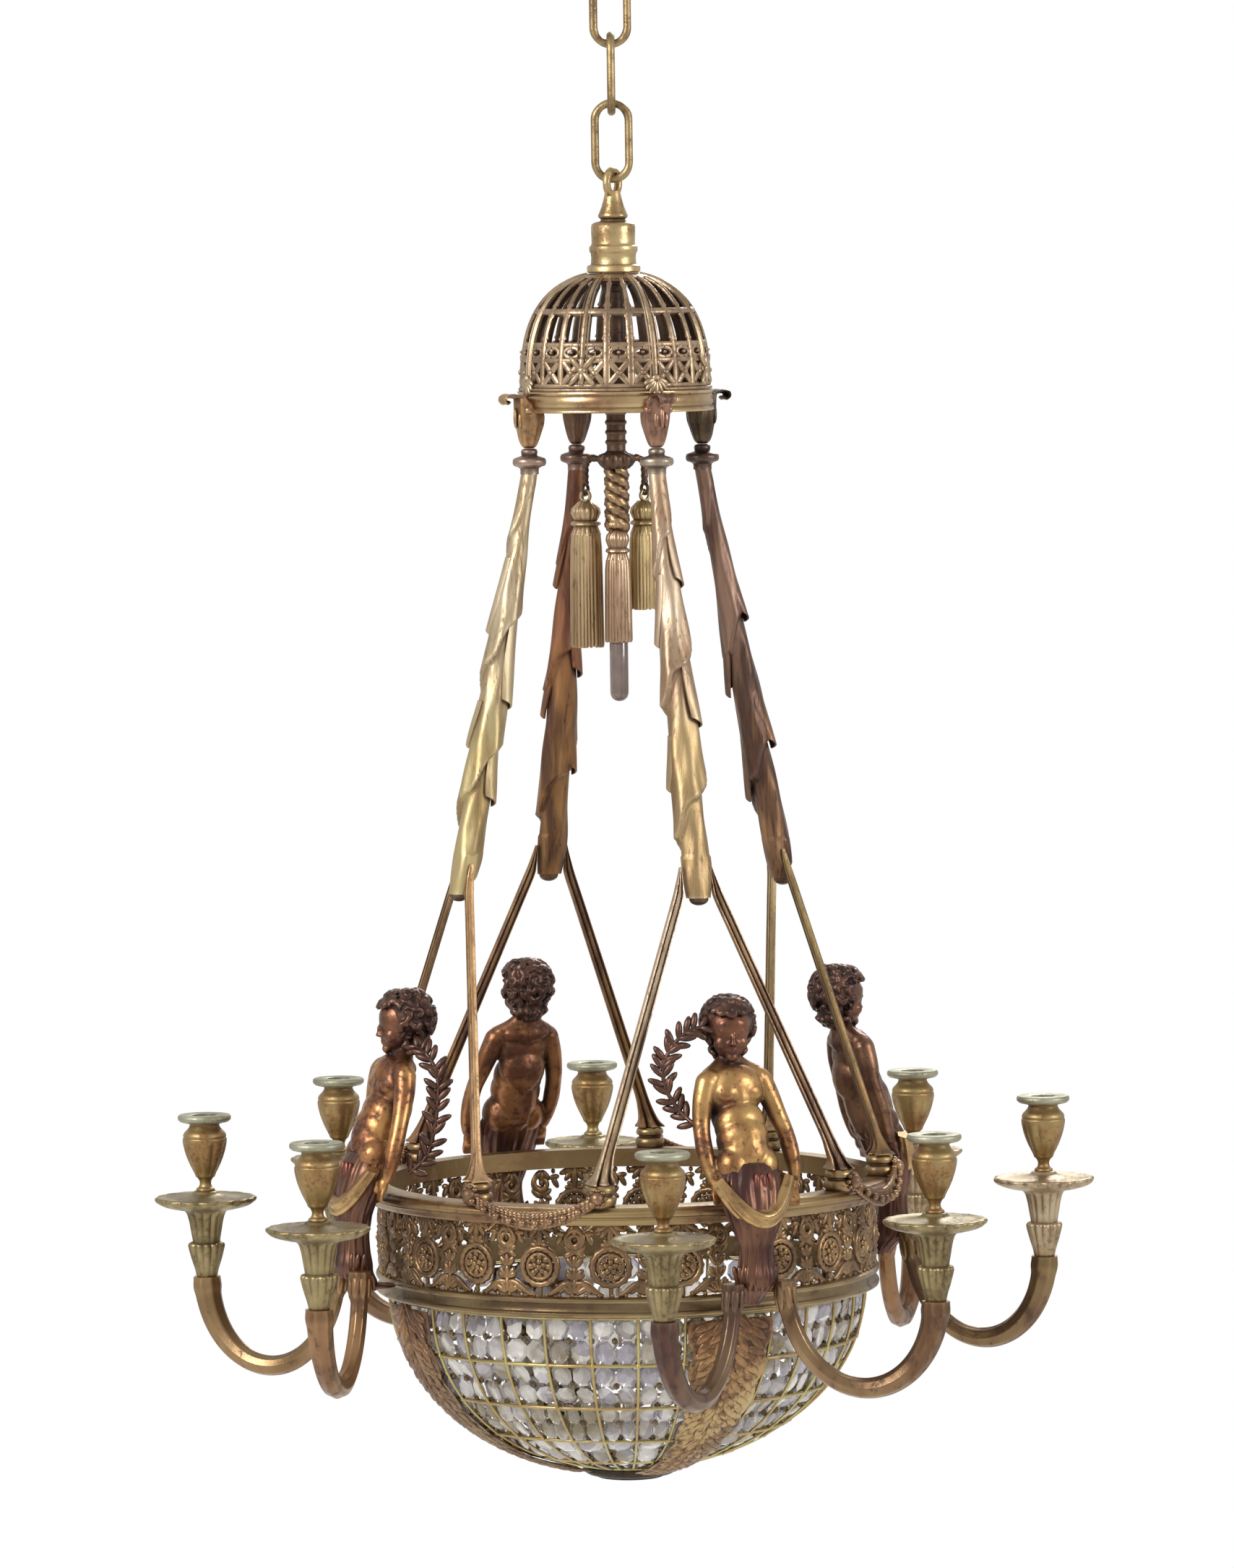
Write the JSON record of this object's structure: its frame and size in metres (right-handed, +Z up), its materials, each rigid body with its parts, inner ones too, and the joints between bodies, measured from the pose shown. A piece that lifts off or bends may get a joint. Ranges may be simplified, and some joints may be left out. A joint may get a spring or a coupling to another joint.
{
  "type": "chandelier",
  "caption": "Gilt-bronze chandelier hung by a short chain: pierced dome, draped stems, child figures, candle arms and a crystal bowl.",
  "frame": {"origin": "where a ceiling hook bears on the inside of the top chain link", "axes": "+Z up along the chain and rod; the figures stand on -Y (front), +X (right), +Y (back) and -X (left)"},
  "size_m": [0.7716, 0.7716, 1.3061],
  "materials": {
    "chain_gilt": "dull antique gilding on cast links",
    "finial_gilt": "worn gilt bronze, darker in the grooves",
    "dome_gilt": "pierced gilt bronze with brown hollows",
    "console_gilt": "bright gilt band with orange-tan consoles",
    "dark_bronze": "dark brown patinated bronze",
    "tassel_gilt": "straw-gold gilt bronze with upright threads",
    "bulb_glass": "grey-brown glass tube",
    "stem_gilt": "pale straw gilt bronze over red-brown, in cloth folds",
    "ribbon_gilt": "gilt bronze ribbon with brown wear",
    "figure_bronze": "copper-orange bronze with dark brown hair",
    "rim_gilt": "polished gilt bronze moulding",
    "frieze_gilt": "antique gilt openwork with brown hollows",
    "arm_gilt": "panelled gilt bronze horn",
    "pan_gilt": "olive-greenish gilt bronze leaf bell and pan",
    "nozzle_gilt": "olive-greenish gilt bronze urn",
    "leaf_gilt": "veined leaf in antique gilt bronze",
    "cage_gilt": "yellow-green gilt wire",
    "crystal": "clear cut crystal",
    "cap_bronze": "nearly black bronze"
  },
  "bodies": {
    "hook_link": {"chain_link_top": "chain_gilt"},
    "middle_link": {"chain_link_middle": "chain_gilt"},
    "lower_link": {"chain_link_lower": "chain_gilt"},
    "lamp_frame": {"eye_finial": "finial_gilt", "pierced_dome": "dome_gilt", "dome_ring": "console_gilt", "centre_rod": "dark_bronze", "tassel_front": "tassel_gilt", "draped_stem_front": "stem_gilt", "draped_stem_right": "stem_gilt", "draped_stem_back": "stem_gilt", "draped_stem_left": "stem_gilt", "ribbon_front_a": "ribbon_gilt", "ribbon_front_b": "ribbon_gilt", "ribbon_right_a": "ribbon_gilt", "ribbon_right_b": "ribbon_gilt", "ribbon_back_a": "ribbon_gilt", "ribbon_back_b": "ribbon_gilt", "ribbon_left_a": "ribbon_gilt", "ribbon_left_b": "ribbon_gilt", "upper_rim": "rim_gilt", "rosette_frieze": "frieze_gilt", "child_figure_front": "figure_bronze", "child_figure_right": "figure_bronze", "child_figure_back": "figure_bronze", "child_figure_left": "figure_bronze", "candle_arm_front_a": "arm_gilt", "candle_arm_front_b": "arm_gilt", "candle_arm_right_a": "arm_gilt", "candle_arm_right_b": "arm_gilt", "candle_arm_back_a": "arm_gilt", "candle_arm_back_b": "arm_gilt", "candle_arm_left_a": "arm_gilt", "candle_arm_left_b": "arm_gilt", "drip_pan_front_a": "pan_gilt", "drip_pan_front_b": "pan_gilt", "drip_pan_right_a": "pan_gilt", "drip_pan_right_b": "pan_gilt", "drip_pan_back_a": "pan_gilt", "drip_pan_back_b": "pan_gilt", "drip_pan_left_a": "pan_gilt", "drip_pan_left_b": "pan_gilt", "nozzle_front_a": "nozzle_gilt", "nozzle_front_b": "nozzle_gilt", "nozzle_right_a": "nozzle_gilt", "nozzle_right_b": "nozzle_gilt", "nozzle_back_a": "nozzle_gilt", "nozzle_back_b": "nozzle_gilt", "nozzle_left_a": "nozzle_gilt", "nozzle_left_b": "nozzle_gilt", "leaf_rib_front": "leaf_gilt", "leaf_rib_right": "leaf_gilt", "leaf_rib_back": "leaf_gilt", "leaf_rib_left": "leaf_gilt", "bowl_cage": "cage_gilt", "crystal_bowl": "crystal", "bottom_cap": "cap_bronze"},
    "left_tassel": {"tassel_left": "tassel_gilt"},
    "right_tassel": {"tassel_right": "tassel_gilt"},
    "bulb": {"tubular_bulb": "bulb_glass"}
  },
  "joints": [
    {"name": "middle_link_swing", "type": "hinge", "parent": "hook_link", "child": "middle_link", "pos_m": [0, 0, -0.0615], "axis": [0.9078, -0.4194, 0], "range_deg": [-40, 40]},
    {"name": "lower_link_swing", "type": "hinge", "parent": "middle_link", "child": "lower_link", "pos_m": [0, 0, -0.1192], "axis": [0.4194, 0.9078, 0], "range_deg": [-40, 40]},
    {"name": "lamp_swing", "type": "hinge", "parent": "lower_link", "child": "lamp_frame", "pos_m": [0, 0, -0.1769], "axis": [0.9078, -0.4194, 0], "range_deg": [-25, 25]},
    {"name": "left_tassel_swing", "type": "hinge", "parent": "lamp_frame", "child": "left_tassel", "pos_m": [-0.0178, 0.0258, -0.4479], "axis": [0.8231, 0.5679, 0], "range_deg": [-1, 25]},
    {"name": "right_tassel_swing", "type": "hinge", "parent": "lamp_frame", "child": "right_tassel", "pos_m": [0.0298, 0.0072, -0.4479], "axis": [0.2349, -0.972, 0], "range_deg": [-1, 15]},
    {"name": "bulb_turn", "type": "hinge", "parent": "lamp_frame", "child": "bulb", "pos_m": [0, 0, -0.56], "axis": [0, 0, 1], "continuous": true}
  ]
}
